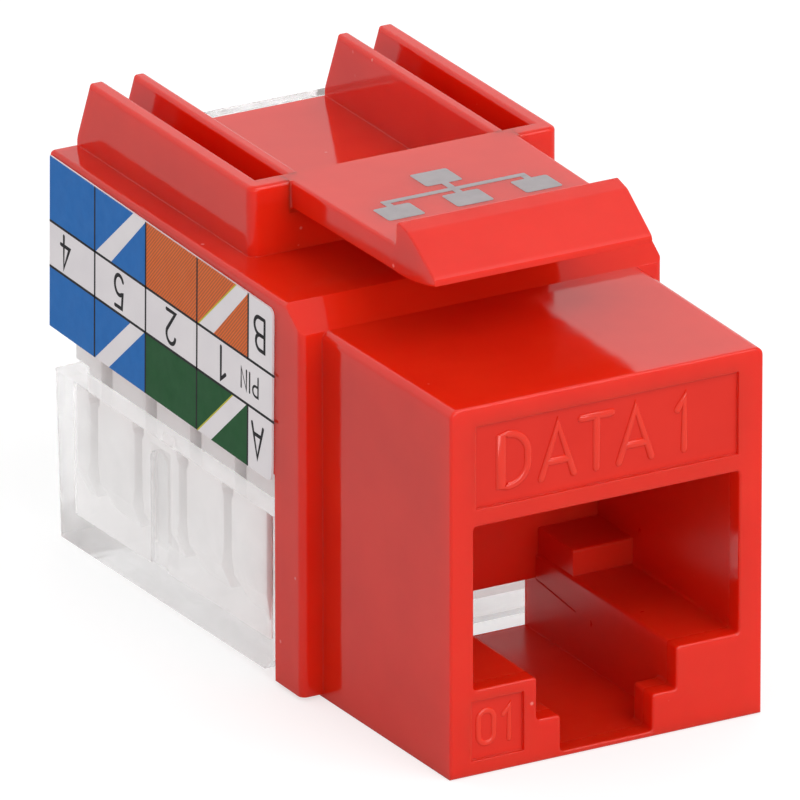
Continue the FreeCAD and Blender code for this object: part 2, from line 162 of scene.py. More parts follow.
def red_plastic(name, base, dark, rough=(0.05, 0.13), speck=0.76, sss=0.7, grain=0.16, spec=0.5, edge=0.07):
    m = Mat(name)
    big = m.noise(260, 3, 0.55)
    fine = m.noise(5200, 4, 0.6)
    col = m.mix(m.map(big.outputs["Fac"], 0, 1, 0.35, 0.65), base, dark)
    # pale specks of dust, a few hundredths of a millimetre across
    vo = m.nt.nodes.new("ShaderNodeTexVoronoi")
    vo.inputs["Scale"].default_value = 620
    vo.inputs["Randomness"].default_value = 1.0
    m.link(m.coord.outputs["Object"], vo.inputs["Vector"])
    near = m.map(vo.outputs["Distance"], 1, 0, 0.025, 0.06)
    sep = m.nt.nodes.new("ShaderNodeSeparateColor")
    m.link(vo.outputs["Color"], sep.inputs["Color"])
    some = m.map(sep.outputs["Red"], 0, 1, speck, speck + 0.02)
    mul = m.nt.nodes.new("ShaderNodeMath")
    mul.operation = "MULTIPLY"
    m.link(near, mul.inputs[0])
    m.link(some, mul.inputs[1])
    half = m.nt.nodes.new("ShaderNodeMath")
    half.operation = "MULTIPLY"
    half.inputs[1].default_value = 0.55
    port = inside_port(m)
    clean = m.nt.nodes.new("ShaderNodeMath")
    clean.operation = "MULTIPLY"
    m.link(mul.outputs[0], clean.inputs[0])
    m.link(m.map(port, 1, 0.12), clean.inputs[1])
    m.link(clean.outputs[0], half.inputs[0])
    col = m.mix(half.outputs[0], col, srgb(245, 170, 160))
    m.to(col, "Base Color")
    # roughness varies with handling marks
    smear = m.noise(700, 5, 0.65)
    dull = m.nt.nodes.new("ShaderNodeMath")
    dull.operation = "MULTIPLY_ADD"
    dull.inputs[1].default_value = 0.22 if edge else 0.0
    m.link(port, dull.inputs[0])
    m.link(m.map(smear.outputs["Fac"], rough[0], rough[1], 0.3, 0.75), dull.inputs[2])
    m.to(dull.outputs[0], "Roughness")
    n1 = m.bump(m.noise(330, 2, 0.5).outputs["Fac"], 0.25, 0.00004, m.rounded(edge) if edge else None)
    n2 = m.bump(fine.outputs["Fac"], grain, 0.0000035, n1)
    m.to(n2, "Normal")
    m.set(Subsurface_Weight=sss, Subsurface_Radius=(1.0, 0.10, 0.045), Subsurface_Scale=0.0019, IOR=1.47,
          Specular_IOR_Level=spec)
    return m.m


def plain_plastic(name, col, dark, rough=(0.3, 0.45), sss=0.0, grain=0.3, fine_scale=4200, sss_rad=(1, 1, 1),
                  spec=0.5):
    m = Mat(name)
    m.set(Specular_IOR_Level=spec)
    c = m.mix(m.map(m.noise(420, 3).outputs["Fac"], 0, 1, 0.35, 0.65), col, dark)
    m.to(c, "Base Color")
    m.to(m.map(m.noise(900, 4).outputs["Fac"], rough[0], rough[1], 0.3, 0.7), "Roughness")
    m.to(m.bump(m.noise(fine_scale, 3, 0.6).outputs["Fac"], grain, 0.000004), "Normal")
    if sss:
        m.set(Subsurface_Weight=sss, Subsurface_Radius=sss_rad, Subsurface_Scale=0.0012)
    return m.m


def metal(name, col, dark, rough=(0.16, 0.34), stretch=(1, 1, 1)):
    m = Mat(name)
    mp = m.nt.nodes.new("ShaderNodeMapping")
    mp.inputs["Scale"].default_value = stretch
    m.link(m.coord.outputs["Object"], mp.inputs["Vector"])
    n = m.noise(2600, 4, 0.6)
    m.link(mp.outputs["Vector"], n.inputs["Vector"])
    m.to(m.mix(m.map(m.noise(800, 3).outputs["Fac"], 0, 1, 0.35, 0.7), col, dark), "Base Color")
    m.to(m.map(n.outputs["Fac"], rough[0], rough[1], 0.3, 0.7), "Roughness")
    m.to(m.bump(n.outputs["Fac"], 0.25, 0.000003), "Normal")
    m.set(Metallic=1.0)
    return m.m


RED = red_plastic("red_abs_gloss", srgb(224, 39, 16), srgb(218, 35, 14))
RED_MATTE = red_plastic("red_abs_textured", srgb(226, 44, 28), srgb(218, 38, 24), rough=(0.36, 0.5), grain=1.0, edge=0)
# the raised letters are the housing's own plastic; their lighter red base colour is a painted highlight for the light
# the raised strokes catch
RED_LETTERING_PAINTED_HIGHLIGHT = red_plastic("red_abs_lettering", srgb(234, 52, 30), srgb(228, 46, 26), rough=(0.14, 0.24), speck=0.99,
                         sss=0.1, edge=0)
# recessed plate floor: its matte texture is real, and its darker red is painted shade for the recess
RED_PLATE_MATTE_AND_SHADED = red_plastic("red_abs_plate", srgb(216, 38, 20), srgb(210, 34, 17), rough=(0.34, 0.46), speck=0.80, sss=0.0,
                        grain=0.5, spec=0.35, edge=0)
RED_ARM = red_plastic("red_abs_arm", srgb(224, 39, 16), srgb(218, 35, 14), edge=0)
WHITE = plain_plastic("white_block_pc", srgb(252, 250, 249), srgb(248, 246, 245), (0.3, 0.42), sss=0.8)
BLACK = plain_plastic("black_insert", srgb(44, 44, 46), srgb(30, 30, 32), (0.35, 0.5))
BOARD = plain_plastic("green_board", srgb(24, 92, 50), srgb(16, 74, 40), (0.22, 0.36), grain=0.5, fine_scale=1800)
FILM = plain_plastic("label_film", srgb(247, 241, 243), srgb(241, 235, 238), (0.34, 0.46), grain=0.15, fine_scale=1500,
                     spec=0.25)
GOLD = metal("gold_wire", srgb(246, 208, 120), srgb(226, 178, 92), stretch=(1, 0.1, 1))
TIN = metal("tin_blade", srgb(214, 214, 212), srgb(190, 190, 190), (0.22, 0.4), stretch=(1, 1, 0.1))
SOLDER = metal("solder", srgb(206, 206, 208), srgb(184, 184, 188), (0.12, 0.3))


def clear_plastic(name):
    """Clear moulded plastic with a faint haze, flow marks and soft waves in its surface."""
    m = Mat(name)
    m.to(m.mix(m.map(m.noise(300, 3).outputs["Fac"], 0, 1, 0.3, 0.7), srgb(255, 254, 254), srgb(251, 249, 249)),
         "Base Color")
    m.to(m.map(m.noise(650, 4).outputs["Fac"], 0.02, 0.07, 0.3, 0.75), "Roughness")
    m.to(m.bump(m.noise(190, 2).outputs["Fac"], 0.2, 0.00003), "Normal")
    m.set(Transmission_Weight=1.0, IOR=1.46)
    haze = m.nt.nodes.new("ShaderNodeBsdfDiffuse")
    haze.inputs["Color"].default_value = (0.96, 0.95, 0.95, 1)
    through = m.nt.nodes.new("ShaderNodeBsdfTranslucent")
    through.inputs["Color"].default_value = (0.98, 0.97, 0.97, 1)
    both = m.nt.nodes.new("ShaderNodeMixShader")
    both.inputs[0].default_value = 0.6
    m.link(haze.outputs[0], both.inputs[1])
    m.link(through.outputs[0], both.inputs[2])
    milky = m.nt.nodes.new("ShaderNodeMixShader")
    m.link(m.map(m.noise(240, 3).outputs["Fac"], 0.10, 0.22, 0.35, 0.7), milky.inputs[0])
    m.link(m.bsdf.outputs[0], milky.inputs[1])
    m.link(both.outputs[0], milky.inputs[2])
    # lamps reach what is behind the clear walls, and light caught in an edge gets out
    out = m.nt.nodes["Material Output"]
    path = m.nt.nodes.new("ShaderNodeLightPath")
    deep = m.nt.nodes.new("ShaderNodeMath")
    deep.operation = "GREATER_THAN"
    deep.inputs[1].default_value = 2.5
    m.link(path.outputs["Ray Depth"], deep.inputs[0])
    either = m.nt.nodes.new("ShaderNodeMath")
    either.operation = "MAXIMUM"
    m.link(path.outputs["Is Shadow Ray"], either.inputs[0])
    m.link(deep.outputs[0], either.inputs[1])
    clear = m.nt.nodes.new("ShaderNodeBsdfTransparent")
    clear.inputs["Color"].default_value = (0.96, 0.96, 0.96, 1)
    mix = m.nt.nodes.new("ShaderNodeMixShader")
    m.link(either.outputs[0], mix.inputs[0])
    m.link(milky.outputs[0], mix.inputs[1])
    m.link(clear.outputs[0], mix.inputs[2])
    m.link(mix.outputs[0], out.inputs["Surface"])
    return m.m


CLEAR = clear_plastic("clear_cap_pc")


def ink(name, col, dark, hatch=None):
    m = Mat(name)
    c = m.mix(m.map(m.noise(1500, 4, 0.7).outputs["Fac"], 0, 1, 0.3, 0.7), col, dark)
    if hatch is not None:
        w = m.nt.nodes.new("ShaderNodeTexWave")
        w.wave_type = "BANDS"
        w.bands_direction = "DIAGONAL"
        w.inputs["Scale"].default_value = 3600
        w.inputs["Distortion"].default_value = 0.3
        mp = m.nt.nodes.new("ShaderNodeMapping")
        mp.inputs["Scale"].default_value = (0, 1, 1)
        m.link(m.coord.outputs["Object"], mp.inputs["Vector"])
        m.link(mp.outputs["Vector"], w.inputs["Vector"])
        c = m.mix(m.map(w.outputs["Fac"], 0, 0.75, 0.3, 0.8), c, hatch)
    m.to(c, "Base Color")
    m.to(m.map(m.noise(1100, 3).outputs["Fac"], 0.3, 0.45, 0.3, 0.7), "Roughness")
    m.to(m.bump(m.noise(2500, 2).outputs["Fac"], 0.15, 0.000003), "Normal")
    m.set(Specular_IOR_Level=0.10)
    return m.m


INK_BLUE = ink("ink_blue", srgb(38, 117, 196), srgb(32, 110, 189))
INK_ORANGE = ink("ink_orange", srgb(238, 116, 52), srgb(232, 108, 47), hatch=srgb(170, 94, 56))
INK_GREEN = ink("ink_green", srgb(33, 91, 49), srgb(27, 84, 44))
INK_BROWN = ink("ink_brown", srgb(110, 66, 40), srgb(98, 56, 34))
INK_DARK = ink("ink_dark", srgb(38, 36, 40), srgb(30, 28, 32))
INK_YELLOW = ink("ink_yellow", srgb(214, 206, 70), srgb(200, 190, 60))
PAD_GREY = ink("pad_print_grey", srgb(176, 170, 172), srgb(166, 160, 162))


def give(obj, mat):
    obj.data.materials.clear()
    obj.data.materials.append(mat)


give(nodes["housing"], RED)
give(nodes["latch_arm"], RED)
give(nodes["contact_carrier"], BLACK)
give(nodes["contact_leads"], GOLD)
give(nodes["circuit_board"], BOARD)
give(nodes["idc_block"], WHITE)
give(nodes["dust_cap"], CLEAR)
give(nodes["label_left"], FILM)
give(nodes["label_right"], FILM)
for i in range(1, 9):
    give(nodes["spring_contact_%d" % i], GOLD)
    give(nodes["idc_contact_%d" % i], TIN)


# ------------------------------------------------------------------ softened edges
def soft_edges(obj, width, angle=32, segments=2):
    """Rounds the moulded edges a little: flat regions are joined first, so that the rounding is even."""
    d = obj.modifiers.new("flats", "DECIMATE")
    d.decimate_type = "DISSOLVE"
    d.angle_limit = math.radians(0.6)
    b = obj.modifiers.new("edges", "BEVEL")
    b.width = width * MM
    b.segments = segments
    b.limit_method = "ANGLE"
    b.angle_limit = math.radians(angle)
    b.use_clamp_overlap = False
    b.miter_outer = "MITER_ARC"
    b.harden_normals = True
    return obj


# the film is set back a hundredth of a millimetre, so that its inks end inside the part's box
for tag in ("label_left", "label_right"):
    d = nodes[tag].modifiers.new("set_back", "DISPLACE")
    d.direction = "NORMAL"
    d.mid_level = 0.0
    d.strength = -0.00001
soft_edges(nodes["idc_block"], 0.05)
soft_edges(nodes["contact_carrier"], 0.04)

# ------------------------------------------------------------------ mesh helpers
def new_object(name, verts, faces, mat, smooth=False):
    me = bpy.data.meshes.new(name)
    me.from_pydata([tuple(v) for v in verts], [], faces)
    me.validate()
    bm = bmesh.new()
    bm.from_mesh(me)
    bmesh.ops.remove_doubles(bm, verts=bm.verts, dist=1e-8)
    bmesh.ops.recalc_face_normals(bm, faces=bm.faces)
    bm.to_mesh(me)
    bm.free()
    o = bpy.data.objects.new(name, me)
    scene.collection.objects.link(o)
    me.materials.append(mat)
    if smooth:
        for p in me.polygons:
            p.use_smooth = True
        me.set_sharp_from_angle(angle=math.radians(35))
    return o


class Builder:
    """Collects closed prisms and tubes into one mesh."""

    def __init__(self):
        self.v, self.f = [], []

    def prism(self, pts, place, lo, hi):
        """pts: 2-D outline; place(u, v, w) gives a point; lo and hi are the two levels of w."""
        area = sum(pts[i][0] * pts[(i + 1) % len(pts)][1] - pts[(i + 1) % len(pts)][0] * pts[i][1]
                   for i in range(len(pts)))
        if area < 0:
            pts = pts[::-1]
        n, b = len(pts), len(self.v)
        self.v += [place(u, w, lo) for u, w in pts] + [place(u, w, hi) for u, w in pts]
        self.f.append(tuple(b + i for i in reversed(range(n))))
        self.f.append(tuple(b + n + i for i in range(n)))
        for i in range(n):
            j = (i + 1) % n
            self.f.append((b + i, b + j, b + n + j, b + n + i))

    def tube(self, path, normal, r, flat=1.0, seg=8, caps=True):
        """Round bead along a path of points; normal is the side it is flattened to."""
        path = [Vector(p) for p in path]
        n = Vector(normal).normalized()
        rings = []
        closed = (path[0] - path[-1]).length < 1e-9
        if closed:
            path = path[:-1]
        m = len(path)
        for i, p in enumerate(path):
            if closed:
                t = (path[(i + 1) % m] - path[i - 1]).normalized()
                a = (path[i] - path[i - 1]).normalized()
                c = (path[(i + 1) % m] - path[i]).normalized()
            else:
                a = (path[i] - path[max(i - 1, 0)])
                c = (path[min(i + 1, m - 1)] - path[i])
                a = a.normalized() if a.length > 0 else c.normalized()
                c = c.normalized() if c.length > 0 else a
                t = (a + c).normalized()
            side = t.cross(n).normalized()
            k = 1.0 / max(0.5, math.cos(a.angle(c) / 2))
            ring = []
            for s in range(seg):
                an = 2 * math.pi * s / seg
                ring.append(p + side * (math.cos(an) * r * k) + n * (math.sin(an) * r * flat))
            rings.append(ring)
        if not closed and caps:
            for end, sgn in ((0, -1), (-1, 1)):
                p = path[end]
                q = path[1] if end == 0 else path[-2]
                t = (p - q).normalized()
                extra = []
                for ang in (35, 65):
                    c_, s_ = math.cos(math.radians(ang)), math.sin(math.radians(ang))
                    ring = [p + t * (r * s_) + (v - p) * c_ for v in (rings[0] if end == 0 else rings[-1])]
                    extra.append(ring)
                if end == 0:
                    rings = extra[::-1] + rings
                else:
                    rings = rings + extra
        b = len(self.v)
        for ring in rings:
            self.v += ring
        k = len(rings)
        for i in range(k if closed else k - 1):
            for s in range(seg):
                a0 = b + i * seg + s
                a1 = b + i * seg + (s + 1) % seg
                c0 = b + ((i + 1) % k) * seg + s
                c1 = b + ((i + 1) % k) * seg + (s + 1) % seg
                self.f.append((a0, a1, c1, c0))
        if not closed:
            self.f.append(tuple(b + s for s in reversed(range(seg))))
            self.f.append(tuple(b + (k - 1) * seg + s for s in range(seg)))

    def stroke_text(self, chars, w, h, gap, place, r, lo, hi):
        """Printed single-line characters, centred on place(0, 0), as flat ribbons between two levels."""
        total = sum(w * (0.3 if c == "I" else 1) for c in chars) + gap * (len(chars) - 1)
        u = -total / 2
        origin = place(0, 0, (lo + hi) / 2)
        out = (place(0, 0, 1) - place(0, 0, 0)).normalized()
        for c in chars:
            cw = w * (0.3 if c == "I" else 1)
            for path in glyph(c, cw, h):
                pts = [place(u + a, b - h / 2, (lo + hi) / 2) for a, b in path]
                self.tube(pts, out, r * MM, flat=(hi - lo) / 2 / r, seg=8)
            u += cw + gap

    def make(self, name, mat, body, slot=None, smooth=False):
        o = new_object(name, self.v, self.f, mat, smooth)
        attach(o, body)
        return o


# ------------------------------------------------------------------ single-line characters
def arc(cx, cz, rx, rz, a0, a1, n=14):
    return [(cx + rx * math.cos(math.radians(a0 + (a1 - a0) * i / n)),
             cz + rz * math.sin(math.radians(a0 + (a1 - a0) * i / n))) for i in range(n + 1)]


def glyph(ch, w, h):
    """Single-line characters as lists of paths in a box w wide and h high."""
    if ch == "D":
        r = min(h / 2, w * 0.75)
        return [[(0, 0), (0, h), (w - r, h)] + arc(w - r, h - r, r, r, 90, 0, 10)[1:] +
                arc(w - r, r, r, r, 0, -90, 10) + [(0, 0)]]
    if ch == "A":
        return [[(0, 0), (w / 2, h), (w, 0)], [(w * 0.16, h * 0.3), (w * 0.84, h * 0.3)]]
    if ch == "B":
        r = h * 0.235
        q = h * 0.265
        return [[(0, 0), (0, h), (w * 0.85 - r, h)] + arc(w * 0.85 - r, h - r, r, r, 90, -90, 12)[1:] +
                [(0, h - 2 * r)], [(w * 0.6 - r, h - 2 * r), (w - q, 2 * q)] +
                arc(w - q, q, q, q, 90, -90, 12)[1:] + [(0, 0)]]
    if ch == "T":
        return [[(0, h), (w, h)], [(w / 2, h), (w / 2, 0)]]
    if ch == "P":
        r = h * 0.26
        return [[(0, 0), (0, h), (w - r, h)] + arc(w - r, h - r, r, r, 90, -90, 12)[1:] + [(0, h - 2 * r)]]
    if ch == "I":
        return [[(w / 2, 0), (w / 2, h)]]
    if ch == "N":
        return [[(0, 0), (0, h), (w, 0), (w, h)]]
    if ch == "0":
        r = w / 2
        return [arc(r, h - r, r, r, 0, 180, 14) + arc(r, r, r, r, 180, 360, 14) + [(w, h - r)]]
    if ch == "1":
        return [[(w * 0.1, h * 0.78), (w * 0.62, h), (w * 0.62, 0)]]
    if ch == "2":
        r = w / 2
        return [arc(r, h - r, r, r, 170, -30, 14) + [(0, 0), (w, 0)]]
    if ch == "3":
        r, q = h * 0.24, h * 0.27
        return [arc(w * 0.5, h - r, w * 0.44, r, 160, -90, 14) + arc(w * 0.48, q, w * 0.5, q, 90, -160, 16)]
    if ch == "4":
        return [[(w, h * 0.3), (0, h * 0.3), (w * 0.66, h), (w * 0.66, 0)]]
    if ch == "5":
        return [[(w * 0.92, h), (w * 0.14, h), (w * 0.06, h * 0.55)] +
                arc(w * 0.46, h * 0.31, w * 0.5, h * 0.31, 125, -150, 18)]
    if ch == "6":
        return [[(w * 0.85, h * 0.96)] + arc(w * 0.5, h * 0.62, w * 0.5, h * 0.38, 80, 180, 8) +
                arc(w * 0.5, h * 0.3, w * 0.5, h * 0.3, 180, 540, 24)]
    if ch == "7":
        return [[(0, h), (w, h), (w * 0.3, 0)]]
    if ch == "8":
        return [arc(w * 0.5, h * 0.75, w * 0.42, h * 0.25, -90, 270, 22),
                arc(w * 0.5, h * 0.25, w * 0.5, h * 0.25, 90, 450, 24)]
    return []


# ------------------------------------------------------------------ printed wiring labels
LAB_Y0, LAB_Y1, LAB_Z0, LAB_Z1 = 12.2, 31.37, 9.02, 16.6
LAB_TILT = math.radians(1.1)
COLS = [2.25, 6.55, 10.91, 15.27]     # from the label's front edge
ROWS = [2.69, 4.71]
LAB_L = LAB_Y1 - LAB_Y0
LAB_H = LAB_Z1 - LAB_Z0


def label_place(side):
    yc, zc = (LAB_Y0 + LAB_Y1) / 2, (LAB_Z0 + LAB_Z1) / 2
    c, s = math.cos(LAB_TILT), math.sin(LAB_TILT)

    def place(u, v, w):
        """u along the label from its front edge, v up from its lower edge, w out of its face, in mm."""
        y, z = LAB_Y0 + u - yc, LAB_Z0 + v - zc
        yy, zz = yc + y * c - z * s, zc + y * s + z * c
        return P(side * (8.54 + w), yy, zz)
    return place


def label_text_place(side, u, v):
    """Text set upside down, as the rows read when the jack lies latch down."""
    base = label_place(side)

    def place(a, b, w):
        return base(u + (a if side < 0 else -a), v - b, w)
    return place


def build_label(side, tag, solid_u, solid_l, digits, inks_u, inks_l):
    edges = [0.0] + COLS + [LAB_L]
    place = label_place(side)
    b = {}

    def get(mat):
        return b.setdefault(mat.name, (mat, Builder()))[1]
    e = 0.02

    def stripe_cell(mat, u0, u1, v0, v1, top):
        """A coloured cell with one white diagonal band."""
        g = get(mat)
        # band from the lower rear corner to the upper front corner
        if top:
            a0, a1, c0, c1 = u1 - 1.36, u1 - 0.03, u0 + 1.08, u0 + 0.0
        else:
            a0, a1, c0, c1 = u1 - 1.24, u1 - 0.03, u0 + 1.25, u0 + 0.05
        g.prism([(a1, v0), (u1, v0), (u1, v1), (c0, v1)], place, -0.003, 0.006)
        g.prism([(u0, v0), (a0, v0), (c1, v1), (u0, v1)], place, -0.003, 0.006)
        if mat is not INK_BLUE:
            y = get(INK_YELLOW)
            y.prism([(a1 - 0.09, v0), (a1, v0), (c0, v1), (c0 - 0.09, v1)], place, -0.003, 0.0065)

    for k in range(4):
        u0, u1 = edges[k + 1], edges[k + 2]
        for (lo, hi, mats, top) in ((ROWS[1], LAB_H, inks_u, True), (0.0, ROWS[0], inks_l, False)):
            mat, striped = mats[k]
            if striped:
                stripe_cell(mat, u0, u1, lo, hi, top)
            else:
                get(mat).prism([(u0, lo), (u1, lo), (u1, hi), (u0, hi)], place, -0.003, 0.006)
    dark = get(INK_DARK)
    w = 0.055
    for v in ROWS:
        dark.prism([(0.03, v - w), (LAB_L, v - w), (LAB_L, v + w), (0.03, v + w)], place, -0.003, 0.009)
    for k, u in enumerate(COLS):
        for (lo, hi) in (((0, ROWS[0]), (ROWS[1], LAB_H)) if k == 0 else ((0, LAB_H),)):
            dark.prism([(u - w, lo), (u + w, lo), (u + w, hi), (u - w, hi)], place, -0.003, 0.009)
    mid = (ROWS[0] + ROWS[1]) / 2
    lo, hi = -0.002, 0.009
    for (u, k) in [(4.43, 0), (8.75, 1), (13.2, 2), (17.82, 3)]:
        dark.stroke_text(digits[k], 0.74, 1.42, 0.2, label_text_place(side, u, mid), 0.085, lo, hi)
    dark.stroke_text("PIN", 0.44, 0.86, 0.2, label_text_place(side, 2.1, mid), 0.055, lo, hi)
    dark.stroke_text("B", 0.84, 1.42, 0.2, label_text_place(side, 1.3, (ROWS[1] + LAB_H) / 2), 0.085, lo, hi)
    dark.stroke_text("A", 0.92, 1.42, 0.2, label_text_place(side, 1.42, ROWS[0] / 2), 0.085, lo, hi)
    for name, (mat, g) in sorted(b.items()):
        o = g.make("label_%s_%s" % (tag, name), mat, "jack", "label_film")


build_label(-1, "left", None, None, ["1", "2", "5", "4"],
            [(INK_ORANGE, True), (INK_ORANGE, False), (INK_BLUE, True), (INK_BLUE, False)],
            [(INK_GREEN, True), (INK_GREEN, False), (INK_BLUE, True), (INK_BLUE, False)])
build_label(1, "right", None, None, ["3", "6", "7", "8"],
            [(INK_GREEN, True), (INK_GREEN, False), (INK_BROWN, True), (INK_BROWN, False)],
            [(INK_ORANGE, True), (INK_ORANGE, False), (INK_BROWN, True), (INK_BROWN, False)])


# ------------------------------------------------------------------ raised lettering on the front plates
def lettering(name, chars, x0, z0, h, r):
    """chars: (letter, width, gap after it), in mm."""
    b = Builder()
    x = x0
    for ch, w, gap in chars:
        for path in glyph(ch, w, h):
            pts = [P(x + u, 0.145, z0 + v) for u, v in path]
            b.tube(pts, (0, -1, 0), r * MM, flat=0.55, seg=16)
        x += w + gap
    # the letters take the lighter red, which is a painted highlight
    return b.make(name, RED_LETTERING_PAINTED_HIGHLIGHT, "jack", "red_abs", smooth=True)


# a thin sheet of the darker red over each recess floor: painted shade for the recess, laid on the floor's real matte
# finish
def recess_floor_painted_shade(name, x0, z0, x1, z1):
    b = Builder()
    b.prism([(x0, z0), (x1, z0), (x1, z1), (x0, z1)], lambda u, w, y: P(u, y, w), 0.144, 0.155)
    return b.make(name, RED_PLATE_MATTE_AND_SHADED, "jack", "red_abs")


recess_floor_painted_shade("recess_floor_large", -6.06, 11.59, 6.06, 15.11)
recess_floor_painted_shade("recess_floor_small", -6.26, 0.69, -3.89, 3.21)
lettering("raised_port_word", [("D", 1.25, 0.62), ("A", 1.5, 0.35), ("T", 1.4, 0.35), ("A", 1.5, 1.15), ("1", 0.6, 0)],
          -4.86, 12.24, 2.25, 0.17)
lettering("raised_port_number", [("0", 0.72, 0.4), ("1", 0.5, 0)], -5.9, 1.28, 1.42, 0.125)


# ------------------------------------------------------------------ latch arm, one skin across its root
def rounded_section(hw, zb, zt, r, n=4):
    """A box section with rounded corners and a support point beside each of them, to keep its flats flat."""
    r = min(r, (zt - zb) * 0.42, hw * 0.42)
    g = 0.06 if (zt - zb) - 2 * r > 0.16 else 0.3 * ((zt - zb) - 2 * r)
    pts = []
    for cx, cz, a0 in ((hw - r, zt - r, 90), (hw - r, zb + r, 0), (-hw + r, zb + r, -90), (-hw + r, zt - r, -180)):
        t = math.radians(a0)
        pts.append((cx + r * math.cos(t) - g * math.sin(t), cz + r * math.sin(t) + g * math.cos(t))
                   if a0 in (0, -180) else (cx + r * math.cos(t) - g * math.sin(t), cz + r * math.sin(t)))
        for k in range(n + 1):
            a = math.radians(a0 - 90 * k / n)
            pts.append((cx + r * math.cos(a), cz + r * math.sin(a)))
        t = math.radians(a0 - 90)
        pts.append((cx + r * math.cos(t) + g * math.sin(t), cz + r * math.sin(t) - g * math.cos(t)))
    return pts


def arm_skin():
    root_w, tip_w = 5.31, 5.05
    zt, zb = 19.98, 18.78
    st = []          # y, half width, bottom z, top z, corner radius

    def half(y):
        k = min(max((y - 5.2) / (16.4 - 5.2), 0), 1)
        return tip_w + (root_w - tip_w) * k
    # root: fills the gap in the cross wall, with a small fillet on each side and below
    for y in (17.355, 17.3, 16.8, 16.66):
        st.append((y, 5.36, 18.5, zt, 0.012))
    for k in range(0, 9):
        a = math.radians(90 * k / 8)
        y = 16.60 - 0.09 * (1 - math.cos(a))
        d = 0.09 * (1 - math.sin(a))
        st.append((y, half(y) + d, zb - d, zt, 0.02 + 0.10 * k / 8))
    for y in (16.3, 16.0, 15.6, 15.0, 14.4, 13.8, 13.2, 12.6, 12.0, 11.4, 10.8, 10.2, 9.6, 9.0):
        st.append((y, half(y), zb, zt, 0.12))
    # foot of the rear step, a small concave fillet, then the step
    st.append((8.50, half(8.5), zb, zt, 0.12))
    for k in range(1, 5):
        a = math.radians(80 * k / 4)
        st.append((8.42 - 0.16 * math.sin(a), half(8.3), zb, zt + 0.16 * (1 - math.cos(a)), 0.1))
    st.append((8.235, half(8.2), zb, zt + 0.3, 0.09))
    st.append((8.20, half(8.2), zb, 20.86, 0.09))
    # rounded crest, a short flat facet, then the plane ramp down to the lip
    ramp = [(8.185, 20.93), (8.15, 20.98), (8.09, 21.005), (8.02, 21.0), (7.6, 20.905), (7.36, 20.85),
            (7.28, 20.826), (7.20, 20.785), (7.1, 20.722), (6.6, 20.397), (6.0, 20.007), (5.5, 19.682),
            (5.36, 19.59), (5.27, 19.52), (5.22, 19.45), (5.203, 19.39)]

    def under(y):
        # underside curves up to the lip
        if y >= 8.0:
            return zb
        if y >= 5.55:
            t = (8.0 - y) / (8.0 - 5.55)
            return zb + 0.30 * t * t
        t = (5.55 - y) / 0.35
        return zb + 0.30 + 0.10 * t
    for y, z in ramp:
        st.append((y, half(y), under(y), z, 0.07))
    st.append((5.2, half(5.2), 19.21, 19.34, 0.05))
    verts, faces = [], []
    n = None
    for (y, w, b_, t_, r) in st:
        sec = rounded_section(w, b_, t_, r)
        n = len(sec)
        verts += [P(x, y, z) for x, z in sec]
    m = len(st)
    for i in range(m - 1):
        for k in range(n):
            a, b_ = i * n + k, i * n + (k + 1) % n
            faces.append((a, b_, b_ + n, a + n))
    faces.append(tuple(range(n)))
    faces.append(tuple(reversed(range((m - 1) * n, m * n))))
    me = bpy.data.meshes.new("latch_arm_skin")
    me.from_pydata([tuple(v) for v in verts], [], faces)
    me.validate()
    bm = bmesh.new()
    bm.from_mesh(me)
    bmesh.ops.recalc_face_normals(bm, faces=bm.faces)
    bm.to_mesh(me)
    bm.free()
    o = bpy.data.objects.new("latch_arm_skin", me)
    scene.collection.objects.link(o)
    me.materials.append(RED_ARM)
    me.materials.append(RED_MATTE)
    for p in me.polygons:
        p.use_smooth = True
        c = p.center
        if p.normal.y < -0.15 and p.normal.z > 0.3 and c.y < P(0, 7.9, 0).y:
            p.material_index = 1
    me.set_sharp_from_angle(angle=math.radians(48))
    wn = o.modifiers.new("even_shading", "WEIGHTED_NORMAL")
    wn.keep_sharp = True
    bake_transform(o)
    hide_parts("latch_arm")
    return o


arm_skin()


# generic wired-network sign, pad-printed on the arm
def arm_sign():
    b = Builder()

    def place(u, v, w):
        return P(u, v, 19.98 + w)

    def rect(x0, y0, x1, y1, r=0.12):
        pts = []
        for cx, cy, a0 in ((x1 - r, y1 - r, 0), (x0 + r, y1 - r, 90), (x0 + r, y0 + r, 180), (x1 - r, y0 + r, 270)):
            for k in range(5):
                a = math.radians(a0 + 90 * k / 4)
                pts.append((cx + r * math.cos(a), cy + r * math.sin(a)))
        b.prism(pts, place, -0.01, 0.012)
    rect(-0.85, 13.3, 0.85, 14.75)
    rect(-0.16, 12.7, 0.16, 13.3, 0.02)
    rect(-3.36, 12.42, 3.36, 12.72, 0.05)
    for x in (-3.2, 0.0, 3.2):
        rect(x - 0.16, 12.1, x + 0.16, 12.44, 0.02)
        rect(x - 0.85, 10.7, x + 0.85, 12.1)
    return b.make("latch_network_sign", PAD_GREY, "latch", "label_film")


arm_sign()


